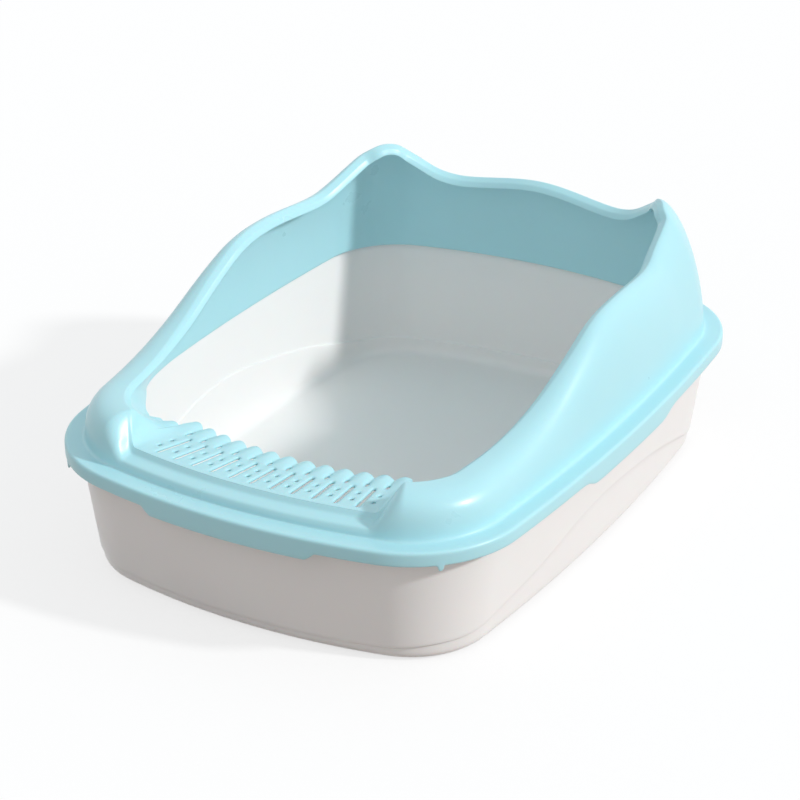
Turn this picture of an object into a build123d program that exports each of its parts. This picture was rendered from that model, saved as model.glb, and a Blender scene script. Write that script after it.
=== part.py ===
from build123d import *
import math
import os

# Semi-enclosed litter box: a deep drafted pan and a lift-off surround with a rolled
# rim, two ear peaks at the back and a slotted step at the front.
# Millimetres, +Z up, front toward -Y, origin on the floor under the middle.

# Plan outline of the surround's flange: tangent arcs, the same on both sides
WIDTH = 400.0
LENGTH = 545.0
FRONT_BOW_R = 547.0
SIDE_BOW_R = 1900.0
REAR_BOW_R = 500.0
FRONT_CORNER_R = 93.0
REAR_CORNER_R = 87.0

# Flange and skirt of the surround
FLANGE_TOP = 105.0
SKIN = 2.2
SKIRT_DEPTH = 11.5
EDGE_ROUND = 2.0
CREASE_INSET = 16.0
TAB_DEPTH = 6.2
TAB_WIDTH = 150.0
TAB_SLANT = 7.0

# Rim of the surround along half of the ring: place on the ring, lean from the
# crease, rise above the flange, fullness of the rounding between the two.
# Places: 0-1 front bow, 1-2 front corner, 2-3 side, 3-4 rear corner, 4-5 rear bow.
SHOULDER_RISE = 32.0
SIDE_RISE = 84.0
SIDE_DIP_RISE = 80.0
EAR_RISE = 105.0
REAR_DIP_RISE = 77.0
REAR_RISE = 83.0
SIDE_LEAN = 28.8
EAR_LEAN = 42.0
REAR_LEAN = 29.0
RIM = [
    (0.0, 31.0, SHOULDER_RISE + 1.0, 3.0),
    (1.0, 31.0, SHOULDER_RISE + 1.0, 3.0),
    (1.55, 33.0, SHOULDER_RISE, 3.0),
    (1.95, 32.5, SHOULDER_RISE, 3.0),
    (2.12, 31.0, SHOULDER_RISE + 3.0, 3.0),
    (2.26, SIDE_LEAN + 0.7, SHOULDER_RISE + 14.0, 2.9),
    (2.42, SIDE_LEAN - 0.5, SIDE_RISE - 15.5, 2.6),
    (2.52, SIDE_LEAN, SIDE_RISE - 2.5, 2.3),
    (2.64, SIDE_LEAN + 0.5, SIDE_RISE, 2.1),
    (2.84, SIDE_LEAN + 3.2, SIDE_DIP_RISE, 2.0),
    (2.9, SIDE_LEAN + 6.0, EAR_RISE - 18.0, 1.8),
    (3.0, EAR_LEAN - 5.0, EAR_RISE - 5.0, 1.7),
    (3.25, EAR_LEAN, EAR_RISE - 1.0, 1.65),
    (3.5, EAR_LEAN, EAR_RISE, 1.65),
    (3.8, EAR_LEAN - 4.0, EAR_RISE - 5.5, 1.7),
    (4.0, REAR_LEAN + 5.0, EAR_RISE - 13.0, 1.8),
    (4.15, REAR_LEAN + 2.0, REAR_DIP_RISE + 5.0, 1.8),
    (4.4, REAR_LEAN, REAR_DIP_RISE, 1.8),
    (5.0, REAR_LEAN, REAR_RISE, 1.8),
]
ROLL_REACH = 4.5
ROLL_RISE = 2.5
SHOULDER_ROLL = 0.3
LIP_REACH = 3.0
LIP_FALL = 5.5

# Front step: ledge, raised slotted deck and the scalloped edge over the pan
LEDGE_INSET = 18.5
LEDGE_RISE = 7.0
LEDGE_BACK_INSET = 29.0
LEDGE_BACK_RISE = 8.5
DECK_FRONT_INSET = 32.5
DECK_FRONT_RISE = 12.6
DECK_INNER_RISE = 4.5
STEP_END = 0.92
STEP_BLEND = 0.26
DECK_SKIN = 2.6

# Inner opening at the front: on the step, place of the rail, place on the ring and
# inset; then round the corner, place and distances from the outline's side and front
DECK_DEPTH = 98.0
OPENING_STEP = [
    (-0.5, -0.485, DECK_DEPTH - 1.3),
    (0.0, 0.0, DECK_DEPTH),
    (0.5, 0.485, DECK_DEPTH - 1.3),
    (1.0, 0.958, DECK_DEPTH - 4.8),
]
OPENING_CORNER = [
    (1.35, 70.0, 107.0),
    (1.6, 60.0, 112.0),
    (1.8, 51.5, 122.5),
    (2.0, 43.0, 136.0),
    (2.2, 28.0, 170.0),
    (2.36, 20.0, 207.0),
]
OPENING_JOIN = 2.36
OPENING_JOIN_END = 2.5
HOLLOW_ENDS = (2.18, 2.36)
EDGE_WALL = 2.4
INNER_SHARES = (0.12, 0.32, 0.55, 0.78)

# Slots of the deck, as many as the step has room for, on lines that fan out from
# the centre of the front bow; the scalloped edge has more lobes than there are slots
SLOT_PITCH_DEG = 1.97
SLOT_WIDTH = 2.8
LONG_SLOT_START = 39.0
LONG_SLOT_END = 75.0
SMALL_HOLE_LENGTH = 3.4
SMALL_HOLE_STARTS = (49.0, 61.5)
SHORT_SLOT_START = 76.0
SHORT_SLOT_LENGTH = 7.5
LOBES_PAST_SLOTS = 3
NOTCH_WIDTH = 5.0
NOTCH_DEPTH = 4.0

# Pan: wall, rim, foot and the wave that runs round its wall
PAN_WALL = 2.2
PAN_WALL_TOP_INSET = 13.2
PAN_FOOT_INSET = 26.6
PAN_SEAT_GAP = 0.3
PAN_SKIRT_GAP = 1.0
PAN_RIM_THICK = 2.2
PAN_RIM_HOOK = 6.5
PAN_FLOOR = 2.6
FOOT_ROUND = 8.0
FLOOR_ROUND = 9.0
WAVE_STEP = 1.3
WAVE_SLOPE = 1.2
WAVE_INSIDE_LIFT = 5.0
# Height of the wave along the ring
WAVE = [
    (0.0, 10.8),
    (1.0, 11.2),
    (1.4, 14.3),
    (1.8, 16.0),
    (2.0, 18.5),
    (2.2, 32.0),
    (2.36, 46.0),
    (2.46, 50.3),
    (2.56, 49.5),
    (2.7, 44.0),
    (2.82, 35.0),
    (2.93, 24.0),
    (3.05, 16.0),
    (3.4, 12.5),
    (5.0, 11.5),
]
LUG_WIDTH = 4.0
LUG_DROP = 4.5
LUG_PLACE = 1.42


def circle_crossing(c1, r1, c2, r2, toward):
    """Return the crossing of two circles that lies furthest along toward."""
    dx, dy = c2[0] - c1[0], c2[1] - c1[1]
    d = math.hypot(dx, dy)
    a = (r1 * r1 - r2 * r2 + d * d) / (2 * d)
    h = math.sqrt(max(r1 * r1 - a * a, 0.0))
    mx, my = c1[0] + dx * a / d, c1[1] + dy * a / d
    found = [(mx - dy * h / d, my + dx * h / d), (mx + dy * h / d, my - dx * h / d)]
    return max(found, key=lambda p: p[0] * toward[0] + p[1] * toward[1])


def outline_arcs():
    """Return the five arcs of the right half, front to back: centre, radius, two angles."""
    front = (0.0, -LENGTH / 2 + FRONT_BOW_R)
    side = (WIDTH / 2 - SIDE_BOW_R, 0.0)
    rear = (0.0, LENGTH / 2 - REAR_BOW_R)
    a, b = FRONT_CORNER_R, REAR_CORNER_R
    p = circle_crossing(front, FRONT_BOW_R - a, side, SIDE_BOW_R - a, (1, -1))
    q = circle_crossing(rear, REAR_BOW_R - b, side, SIDE_BOW_R - b, (1, 1))

    def angle(c, to):
        return math.atan2(to[1] - c[1], to[0] - c[0])

    turns = [-math.pi / 2, angle(front, p), angle(side, p), angle(side, q), angle(rear, q), math.pi / 2]
    centres = [(front, FRONT_BOW_R), (p, a), (side, SIDE_BOW_R), (q, b), (rear, REAR_BOW_R)]
    return [(c, r, turns[i], turns[i + 1]) for i, (c, r) in enumerate(centres)]


ARCS = outline_arcs()
RING_END = float(len(ARCS))


def ring_point(place, inset):
    """Return the plan point at a place on the right half, moved inward by inset."""
    index = min(int(place), len(ARCS) - 1)
    centre, radius, start, stop = ARCS[index]
    turn = start + (stop - start) * (place - index)
    reach = radius - inset
    return centre[0] + reach * math.cos(turn), centre[1] + reach * math.sin(turn)


def rim_length(place, inset=CREASE_INSET + SIDE_LEAN):
    """Return the length of the line at an inset, the rim's own by default, up to a place."""
    if place < 0.0:
        return -rim_length(-place, inset)
    shares = [min(max(place - index, 0.0), 1.0) for index in range(len(ARCS))]
    return sum((r - inset) * (stop - start) * share for (_, r, start, stop), share in zip(ARCS, shares))


def ease_along(place, low, high):
    """Return a smooth 0 to 1 as the rim runs on from one place to another."""
    return ease(rim_length(place), rim_length(low), rim_length(high))


def along(stations, place, column):
    """Return a column of a station list at a place, on a curve that is smooth by length."""
    stations = [(rim_length(station[0]), *station[1:]) for station in stations]
    place = rim_length(place)
    last = len(stations) - 1
    i = 0
    while i < last - 1 and place > stations[i + 1][0]:
        i += 1
    x0, x1 = stations[i][0], stations[i + 1][0]
    y0, y1 = stations[i][column], stations[i + 1][column]
    steps = [(y1 - y0) / (x1 - x0)] * 2
    for side, (low, high) in enumerate(((i - 1, i + 1), (i, i + 2))):
        if low < 0 or high > last:
            steps[side] = 0.0
        else:
            run = stations[high][0] - stations[low][0]
            steps[side] = (stations[high][column] - stations[low][column]) / run
    t = min(max((place - x0) / (x1 - x0), 0.0), 1.0)
    h = x1 - x0
    return (
        (2 * t**3 - 3 * t**2 + 1) * y0
        + (t**3 - 2 * t**2 + t) * h * steps[0]
        + (3 * t**2 - 2 * t**3) * y1
        + (t**3 - t**2) * h * steps[1]
    )


def ease(value, low, high):
    """Return a smooth 0 to 1 as value goes from low to high."""
    t = min(max((value - low) / (high - low), 0.0), 1.0)
    return t * t * (3 - 2 * t)


def mix(a, b, share):
    """Return the point or number between a and b."""
    if isinstance(a, tuple):
        return tuple(mix(p, q, share) for p, q in zip(a, b))
    return a + (b - a) * share


def spread(start, stop, count):
    """Return count evenly spaced places from start up to, not including, stop."""
    return [start + (stop - start) * i / count for i in range(count)]


def segment_places():
    """Return, for each stretch of the right half, the places where its rails are sampled."""
    step_end = STEP_END + STEP_BLEND
    ends = [0.0, STEP_END / 2, STEP_END, step_end, 1.5, 2.0, *HOLLOW_ENDS, 2.6, 3.0, 3.5, 4.0, 4.5, RING_END]
    return [spread(start, stop, 6) + [stop] for start, stop in zip(ends, ends[1:])]


SEGMENTS = segment_places()


def segment(point_at, places):
    """Return the spline through point_at(place), running on smoothly at both ends."""
    step = 0.002
    knots = [0.0]
    for earlier, later in zip(places, places[1:]):
        knots.append(knots[-1] + math.dist(ring_point(earlier, 0.0), ring_point(later, 0.0)))
    tangents = []
    for place in (places[0], places[-1]):
        if place in (0.0, RING_END):
            tangents.append(Vector(1 if place == 0.0 else -1, 0, 0))
        else:
            tangents.append(Vector(point_at(place + step)) - Vector(point_at(place - step)))
    points = [point_at(place) for place in places]
    return Edge.make_spline(points, tangents=tangents, parameters=knots)


def rail(point_at):
    """Return the edges through point_at(place) from the front centre to the rear centre."""
    return [segment(point_at, places) for places in SEGMENTS]


def plan_rail(inset, height):
    """Return a rail at a fixed inset and height."""
    return rail(lambda place: (*ring_point(place, inset), height))


def polygon(points):
    """Return the plane face inside straight lines through points."""
    return Face(Wire.make_polygon(points, close=True))


def flat_face(edges):
    """Return the plane face between a flat rail and the middle plane."""
    return Face(Wire([*edges, Edge.make_line(edges[-1] @ 1, edges[0] @ 0)]))


def half_solid(rails, ring):
    """Return the right half that the rails bound: a closed ring's, or a dish's."""
    pairs = list(zip(rails, rails[1:]))
    starts, ends = [edges[0] @ 0 for edges in rails], [edges[-1] @ 1 for edges in rails]
    if ring:
        pairs.append((rails[-1], rails[0]))
        caps = [polygon(starts), polygon(ends)]
    else:
        caps = [flat_face(rails[0]), flat_face(rails[-1]), polygon(starts + ends[::-1])]
    faces = [Face.make_surface_from_curves(a, b) for one, two in pairs for a, b in zip(one, two)]
    return Solid(Shell(faces + caps))


def rim_at(place):
    """Return the rim's lean, rise and fullness at a place."""
    return tuple(along(RIM, place, column) for column in (1, 2, 3))


def skin_share(level, fullness):
    """Return how much of the lean the wall has taken at a level of its rise."""
    return 1 - max(1 - level**fullness, 0.0) ** (1 / fullness)


def step_share(place):
    """Return 0 on the front step and 1 on the wall."""
    return ease_along(place, STEP_END, STEP_END + STEP_BLEND)


def wall_point(place, level, thickness=0.0):
    """Return inset and height on the wall at a level, sunk below its skin by thickness."""
    lean, rise, fullness = rim_at(place)
    roll = mix(SHOULDER_ROLL, 1.0, ease_along(place, 2.0, 2.45))
    lean, rise = lean - ROLL_REACH * roll, rise + ROLL_RISE * roll
    inset = CREASE_INSET + lean * skin_share(level, fullness)
    height = FLANGE_TOP + rise * level
    if thickness == 0.0:
        return inset, height
    low, high = max(level - 0.01, 0.0), min(level + 0.01, 1.0)
    run = lean * (skin_share(high, fullness) - skin_share(low, fullness))
    climb = rise * (high - low)
    length = math.hypot(run, climb)
    return inset + thickness * climb / length, height - thickness * run / length


def outer_rail(level, step_inset, step_rise):
    """Return a rail of the outside: the wall at a level, or a given point of the step."""

    def point_at(place):
        step = step_inset, FLANGE_TOP + step_rise
        inset, height = mix(step, wall_point(place, level), step_share(place))
        return *ring_point(place, inset), height

    return rail(point_at)


def opening_stations():
    """Return the stations of the inner opening's front: place and plan point."""
    step = [(place, *ring_point(at, inset)) for place, at, inset in OPENING_STEP]
    corner = [(place, WIDTH / 2 - aside, behind - LENGTH / 2) for place, aside, behind in OPENING_CORNER]
    return step + corner


OPENING_EDGE = opening_stations()


def opening_point(place):
    """Return the plan point of the inner opening's edge at a place."""
    if place < 0.0:
        x, y = opening_point(-place)
        return -x, y
    side = ring_point(place, CREASE_INSET + SKIN)
    if place >= OPENING_JOIN_END:
        return side
    front = tuple(along(OPENING_EDGE, min(place, OPENING_JOIN), column) for column in (1, 2))
    slide = ring_point(place, CREASE_INSET + SKIN)[1] - ring_point(OPENING_JOIN, CREASE_INSET + SKIN)[1]
    if place > OPENING_JOIN:
        front = front[0], front[1] + slide
    return mix(front, side, ease_along(place, OPENING_JOIN, OPENING_JOIN_END))


def crest_point(place, inward=0.0, drop=0.0):
    """Return the rim's crest, or the deck's front edge on the step."""
    lean, rise, _ = rim_at(place)
    step = DECK_FRONT_INSET + inward, FLANGE_TOP + DECK_FRONT_RISE
    wall = CREASE_INSET + lean + inward, FLANGE_TOP + rise - drop
    inset, height = mix(step, wall, step_share(place))
    return *ring_point(place, inset), height


def lip_point(place):
    """Return the inner edge of the rim's bevel."""
    return crest_point(place, LIP_REACH, LIP_FALL)


def opening_edge(place):
    """Return the edge of the inner opening."""
    return *opening_point(place), FLANGE_TOP + DECK_INNER_RISE * (1 - ease_along(place, 1.2, 2.3))


def inner_point(place, share, sink=0.0):
    """Return a point a share of the way down the inside, sunk square to its face."""
    deck = mix(lip_point(place), opening_edge(place), share)
    inset, height = wall_point(place, 1 - share**1.3, SKIN)
    wall = *ring_point(place, inset), height
    point = Vector(mix(deck, wall, ease_along(place, 1.9, OPENING_JOIN_END)))
    if sink == 0.0:
        return tuple(point)
    step = 0.01
    onward = Vector(inner_point(place + step, share)) - Vector(inner_point(place - step, share))
    down = Vector(inner_point(place, share + step)) - Vector(inner_point(place, share - step))
    return tuple(point + down.cross(onward).normalized() * sink)


def hollow_rails():
    """Return the rails of the hollow under the step, from the deck's edge to the front face.

    Past the shoulders the hollow shrinks to a strip of the flange's flat underside.
    """
    under = FLANGE_TOP - SKIN

    def edge_foot(place):
        step = 0.002
        onward = Vector(*opening_point(place + step)) - Vector(*opening_point(place - step))
        onward = onward.normalized()
        foot = Vector(*opening_point(place)) + Vector(onward.Y, -onward.X) * EDGE_WALL
        return foot.X, foot.Y, under

    def skin_foot(place):
        return *ring_point(place, CREASE_INSET + SKIN), under

    def wall_side(level, step_inset, step_rise):
        def point_at(place):
            step = step_inset, FLANGE_TOP + step_rise
            inset, height = mix(step, wall_point(place, level, SKIN), step_share(place))
            return *ring_point(place, inset), height

        return point_at

    points = [
        (0.0, edge_foot),
        (0.1, lambda place: inner_point(place, 0.92, DECK_SKIN)),
        (0.4, lambda place: inner_point(place, 0.5, DECK_SKIN)),
        (0.7, lambda place: inner_point(place, 0.1, DECK_SKIN)),
        (0.8, wall_side(0.93, DECK_FRONT_INSET + SKIN, DECK_FRONT_RISE - SKIN)),
        (0.87, wall_side(0.80, LEDGE_BACK_INSET + SKIN, LEDGE_BACK_RISE - SKIN)),
        (0.94, wall_side(0.50, LEDGE_INSET + SKIN, LEDGE_RISE - SKIN)),
        (1.0, skin_foot),
    ]

    def closing(share, open_point):
        strip = mix(CREASE_INSET, EDGE_ROUND * 3, share)

        def point_at(place):
            flat = mix(edge_foot(place), skin_foot(place), share)
            aside = *ring_point(place, strip), under
            sunk = mix(open_point(place), flat, ease_along(place, 2.0, HOLLOW_ENDS[0]))
            return mix(sunk, aside, ease_along(place, *HOLLOW_ENDS))

        return point_at

    return [rail(closing(*point)) for point in points]


def surround_half():
    """Return the surround's right half, its skirt as deep as its tabs all the way round."""
    bottom = FLANGE_TOP - SKIRT_DEPTH - TAB_DEPTH
    under = FLANGE_TOP - SKIN
    ledge_mid = mix((LEDGE_INSET, LEDGE_RISE), (LEDGE_BACK_INSET, LEDGE_BACK_RISE), 0.5)
    riser = mix((LEDGE_BACK_INSET, LEDGE_BACK_RISE), (DECK_FRONT_INSET, DECK_FRONT_RISE), 0.5)
    rails = [
        plan_rail(0.0, bottom),
        plan_rail(0.0, FLANGE_TOP - EDGE_ROUND),
        plan_rail(EDGE_ROUND * 0.3, FLANGE_TOP - EDGE_ROUND * 0.3),
        plan_rail(EDGE_ROUND, FLANGE_TOP),
        plan_rail(CREASE_INSET, FLANGE_TOP),
        outer_rail(0.28, mix(CREASE_INSET, LEDGE_INSET, 0.4), LEDGE_RISE * 0.75),
        outer_rail(0.52, LEDGE_INSET, LEDGE_RISE),
        outer_rail(0.70, *ledge_mid),
        outer_rail(0.83, LEDGE_BACK_INSET, LEDGE_BACK_RISE),
        outer_rail(0.92, *riser),
        outer_rail(0.975, DECK_FRONT_INSET - 0.6, DECK_FRONT_RISE - 0.9),
        outer_rail(1.0, DECK_FRONT_INSET - 0.2, DECK_FRONT_RISE - 0.2),
        rail(crest_point),
        rail(lip_point),
        *[rail(lambda place, share=share: inner_point(place, share)) for share in INNER_SHARES],
        rail(opening_edge),
        rail(lambda place: (*opening_point(place), under)),
        *hollow_rails(),
        plan_rail(SKIN, under),
        plan_rail(SKIN, bottom),
    ]
    return half_solid(rails, ring=True)


def tab_window(width, slant, depth):
    """Return a long prism, narrower below, that keeps one pair of skirt tabs."""
    top, low = width / 2, width / 2 - slant
    outline = Polyline((-top, 0), (top, 0), (low, -depth), (-low, -depth), close=True)
    return extrude(Plane.XZ * make_face(outline), WIDTH + LENGTH, both=True)


def between_tabs():
    """Return the block that trims the skirt back between its tabs and lugs."""
    depth = TAB_DEPTH * 2
    bottom = FLANGE_TOP - SKIRT_DEPTH
    block = Pos(0, 0, bottom - depth / 2) * Box(WIDTH * 1.2, LENGTH * 1.2, depth)
    slant = TAB_SLANT * 2
    front = Pos(0, 0, bottom) * tab_window(TAB_WIDTH, slant, depth)
    sides = Pos(0, 0, bottom) * Rot(0, 0, 90) * tab_window(TAB_WIDTH, slant * 1.2, depth)
    block -= front + sides
    lug_band = Pos(0, 0, bottom - LUG_DROP / 2) * Box(WIDTH * 1.2, LENGTH * 1.2, LUG_DROP)
    lug_tips = Part() + [
        Pos(side * ring_point(LUG_PLACE, 0)[0], ring_point(LUG_PLACE, 0)[1], bottom - LUG_DROP / 2)
        * Rot(0, 0, 45 * side)
        * Box(LUG_WIDTH, SKIN * 6, LUG_DROP)
        for side in (-1, 1)
    ]
    return block - (lug_tips & lug_band)


def slot(start, stop, width, turn):
    """Return a round-ended slot cutter at distances behind the flange's front edge."""
    height = DECK_FRONT_RISE * 4
    shape = SlotOverall(stop - start, width) if stop - start > width * 1.05 else Circle(width / 2)
    reach = FRONT_BOW_R - (start + stop) / 2
    bow = Pos(0, -LENGTH / 2 + FRONT_BOW_R, FLANGE_TOP - SKIN)
    return bow * Rot(0, 0, turn - 90) * Pos(reach, 0, 0) * extrude(shape, height, both=True)


def deck_cutters():
    """Return every slot, hole and edge notch of the deck."""
    _, _, start, stop = ARCS[0]
    last = int(math.degrees(stop - start) * STEP_END / SLOT_PITCH_DEG)
    long_slots = range(-last, last + 1)
    valleys = [n - 0.5 for n in range(-last, last + 2)]
    last_lobe = last + LOBES_PAST_SLOTS
    notches = [n + 0.5 for n in range(-last_lobe, last_lobe)]
    cutters = [slot(LONG_SLOT_START, LONG_SLOT_END, SLOT_WIDTH, n * SLOT_PITCH_DEG) for n in long_slots]
    for n in valleys:
        turn = n * SLOT_PITCH_DEG
        for start in SMALL_HOLE_STARTS:
            cutters.append(slot(start, start + SMALL_HOLE_LENGTH, SLOT_WIDTH, turn))
        cutters.append(slot(SHORT_SLOT_START, SHORT_SLOT_START + SHORT_SLOT_LENGTH, SLOT_WIDTH, turn))
    for n in notches:
        turn = n * SLOT_PITCH_DEG
        x = FRONT_BOW_R * math.sin(math.radians(turn))
        place = abs(x) / abs(ring_point(1.0, 0)[0])
        edge = opening_point(min(place, 1.0))
        behind = FRONT_BOW_R - math.dist(edge, (0, -LENGTH / 2 + FRONT_BOW_R))
        cutters.append(slot(behind - NOTCH_DEPTH, behind + NOTCH_DEPTH * 3, NOTCH_WIDTH, turn))
    return cutters


def both_sides(half):
    """Return the whole piece that a right half and its mirror image make."""
    return half + mirror(half, about=Plane.YZ)


def surround():
    """Return the lift-off surround."""
    return both_sides(surround_half() - between_tabs() - deck_cutters())


def pan_wall(height):
    """Return the inset of the pan's outer wall at a height."""
    top = FLANGE_TOP - SKIN - PAN_SEAT_GAP
    outer_top = PAN_WALL_TOP_INSET - PAN_WALL
    return mix(PAN_FOOT_INSET - WAVE_STEP, outer_top, height / top)


def wave_rail(lift, sunk, thickness):
    """Return a rail of the pan's wall at the wave, above it or sunk below it."""

    def point_at(place):
        height = along(WAVE, place, 1) + lift
        return *ring_point(place, pan_wall(height) + thickness + sunk), height

    return rail(point_at)


def round_rails(inset, bottom, radius, thickness):
    """Return the rails of a rounded foot, from the wall down to the flat."""
    turns = [math.radians(90 * i / 4) for i in range(5)]
    return [
        plan_rail(inset + thickness + radius * (1 - math.cos(t)), bottom + radius * (1 - math.sin(t)))
        for t in turns
    ]


def base_pan():
    """Return the litter pan with its turned-down rim."""
    top = FLANGE_TOP - SKIN - PAN_SEAT_GAP
    edge = SKIN + PAN_SKIRT_GAP
    shoulder = top - PAN_RIM_THICK
    foot = pan_wall(FOOT_ROUND) + WAVE_STEP
    floor_edge = pan_wall(PAN_FLOOR + FLOOR_ROUND) + WAVE_STEP
    outside = [
        *reversed(round_rails(foot, 0.0, FOOT_ROUND, 0.0)),
        wave_rail(-WAVE_SLOPE, WAVE_STEP, 0.0),
        wave_rail(0.0, 0.0, 0.0),
        plan_rail(pan_wall(shoulder), shoulder),
        plan_rail(edge + PAN_RIM_THICK, shoulder),
        plan_rail(edge + PAN_RIM_THICK, top - PAN_RIM_HOOK),
        plan_rail(edge, top - PAN_RIM_HOOK),
        plan_rail(edge, top - 1.0),
        plan_rail(edge + 1.0, top),
        plan_rail(PAN_WALL_TOP_INSET - 0.8, top),
        plan_rail(PAN_WALL_TOP_INSET, top - 0.8),
    ]
    inside = [
        wave_rail(WAVE_INSIDE_LIFT, 0.0, PAN_WALL),
        wave_rail(WAVE_INSIDE_LIFT - WAVE_SLOPE, WAVE_STEP, PAN_WALL),
        *round_rails(floor_edge, PAN_FLOOR, FLOOR_ROUND, PAN_WALL),
    ]
    return both_sides(half_solid(outside + inside, ring=False))


if __name__ == "__main__":
    os.makedirs("parts", exist_ok=True)
    export_step(base_pan(), "parts/base_pan.step")
    export_step(surround(), "parts/surround.step")
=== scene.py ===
"""Looks of the semi-enclosed litter box: a white pan under a sky-blue surround."""

import logging
import math
from collections.abc import Callable, Iterable, Sequence
from dataclasses import dataclass
from enum import Enum
from itertools import accumulate

import bmesh
import bpy
from bmesh.types import BMesh, BMFace, BMVert
from mathutils import Euler, Matrix, Vector

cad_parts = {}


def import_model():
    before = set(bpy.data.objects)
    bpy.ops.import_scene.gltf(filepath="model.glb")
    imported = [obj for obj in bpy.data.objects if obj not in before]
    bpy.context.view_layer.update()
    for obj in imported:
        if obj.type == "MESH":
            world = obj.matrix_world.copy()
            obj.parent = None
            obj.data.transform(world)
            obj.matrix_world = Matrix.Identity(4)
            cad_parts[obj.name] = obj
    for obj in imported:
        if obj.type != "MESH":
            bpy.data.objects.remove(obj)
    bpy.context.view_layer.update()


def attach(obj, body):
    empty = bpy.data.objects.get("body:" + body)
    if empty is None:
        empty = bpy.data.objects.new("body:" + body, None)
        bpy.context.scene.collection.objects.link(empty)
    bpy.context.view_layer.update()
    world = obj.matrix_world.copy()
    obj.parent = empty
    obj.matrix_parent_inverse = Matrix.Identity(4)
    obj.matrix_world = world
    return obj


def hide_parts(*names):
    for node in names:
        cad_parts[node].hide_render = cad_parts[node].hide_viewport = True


LOG = logging.getLogger("litter_box")
MILLIMETRE = 0.001
WELD_DISTANCE = 1e-6
SMOOTH_LEVELS = 1

Rail = Callable[[float], Vector]
Pair = tuple[float, float]


class Piece(Enum):
    """The two mouldings, by the body each rides on."""

    PAN = "pan"
    SURROUND = "surround"


def mix(a: float, b: float, share: float) -> float:
    """Return the number a share of the way from a to b."""
    return a + (b - a) * share


def ease(value: float, low: float, high: float) -> float:
    """Return a smooth 0 to 1 as value goes from low to high."""
    t = min(max((value - low) / (high - low), 0.0), 1.0)
    return t * t * (3.0 - 2.0 * t)


def spread(start: float, stop: float, count: int) -> list[float]:
    """Return count evenly spaced numbers from start up to, not including, stop."""
    return [mix(start, stop, i / count) for i in range(count)]


@dataclass(frozen=True)
class Stations:
    """Values given at a few places along the ring, joined by a smooth curve."""

    rows: tuple[tuple[float, ...], ...]

    def slope(self, index: int, column: int) -> float:
        """Return a column's slope at a station, level at the first and the last."""
        if index in (0, len(self.rows) - 1):
            return 0.0
        before, after = self.rows[index - 1], self.rows[index + 1]
        return (after[column] - before[column]) / (after[0] - before[0])

    def at(self, place: float, column: int = 1) -> float:
        """Return a column at a place.

        Args:
            place: Place along the ring.
            column: Which value of the stations to read.

        Returns:
            The value on the cubic between the two nearest stations.
        """
        index = 0
        while index < len(self.rows) - 2 and place > self.rows[index + 1][0]:
            index += 1
        low, high = self.rows[index], self.rows[index + 1]
        run = high[0] - low[0]
        t = min(max((place - low[0]) / run, 0.0), 1.0)
        return (
            (2 * t**3 - 3 * t**2 + 1) * low[column]
            + (t**3 - 2 * t**2 + t) * run * self.slope(index, column)
            + (3 * t**2 - 2 * t**3) * high[column]
            + (t**3 - t**2) * run * self.slope(index + 1, column)
        )


@dataclass(frozen=True)
class Arc:
    """One arc of the plan outline, in millimetres and radians."""

    x: float
    y: float
    radius: float
    start: float
    stop: float

    def point(self, share: float, inset: float) -> Vector:
        """Return the plan point a share of the way along, moved inward by inset."""
        turn = mix(self.start, self.stop, share)
        reach = self.radius - inset
        return Vector((self.x + reach * math.cos(turn), self.y + reach * math.sin(turn), 0.0))


@dataclass(frozen=True)
class Outline:
    """The plan outline that both mouldings follow: tangent arcs, front centre to rear centre."""

    width: float = 400.0
    length: float = 545.0
    front_bow: float = 547.0
    side_bow: float = 1900.0
    rear_bow: float = 500.0
    front_corner: float = 93.0
    rear_corner: float = 87.0
    end: float = 5.0

    def corner_centre(self, bow: Vector, bow_radius: float, corner: float, up: float) -> Vector:
        """Return where a corner's centre lies, between a bow and the side.

        Args:
            bow: Centre of the front or rear bow.
            bow_radius: Radius of that bow.
            corner: Radius of the corner.
            up: 1 for the rear corner, -1 for the front one.

        Returns:
            The corner's centre on the right-hand side.
        """
        side = Vector((self.width / 2 - self.side_bow, 0.0, 0.0))
        near, far = bow_radius - corner, self.side_bow - corner
        line = side - bow
        along = (near**2 - far**2 + line.length_squared) / (2 * line.length)
        away = math.sqrt(near**2 - along**2)
        forward = line.normalized()
        across = Vector((-forward.y, forward.x, 0.0))
        found = [bow + forward * along + across * away * sign for sign in (-1, 1)]
        return max(found, key=lambda p: p.x + up * p.y)

    def arcs(self) -> list[Arc]:
        """Return the five arcs of the right half, front to back."""
        front = Vector((0.0, self.front_bow - self.length / 2, 0.0))
        side = Vector((self.width / 2 - self.side_bow, 0.0, 0.0))
        rear = Vector((0.0, self.length / 2 - self.rear_bow, 0.0))
        near = self.corner_centre(front, self.front_bow, self.front_corner, -1)
        far = self.corner_centre(rear, self.rear_bow, self.rear_corner, 1)
        lines = [near - front, near - side, far - side, far - rear]
        turns = [-math.pi / 2, *[math.atan2(line.y, line.x) for line in lines], math.pi / 2]
        centres = [front, near, side, far, rear]
        radii = [self.front_bow, self.front_corner, self.side_bow, self.rear_corner, self.rear_bow]
        return [Arc(c.x, c.y, r, turns[i], turns[i + 1]) for i, (c, r) in enumerate(zip(centres, radii))]


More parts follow.
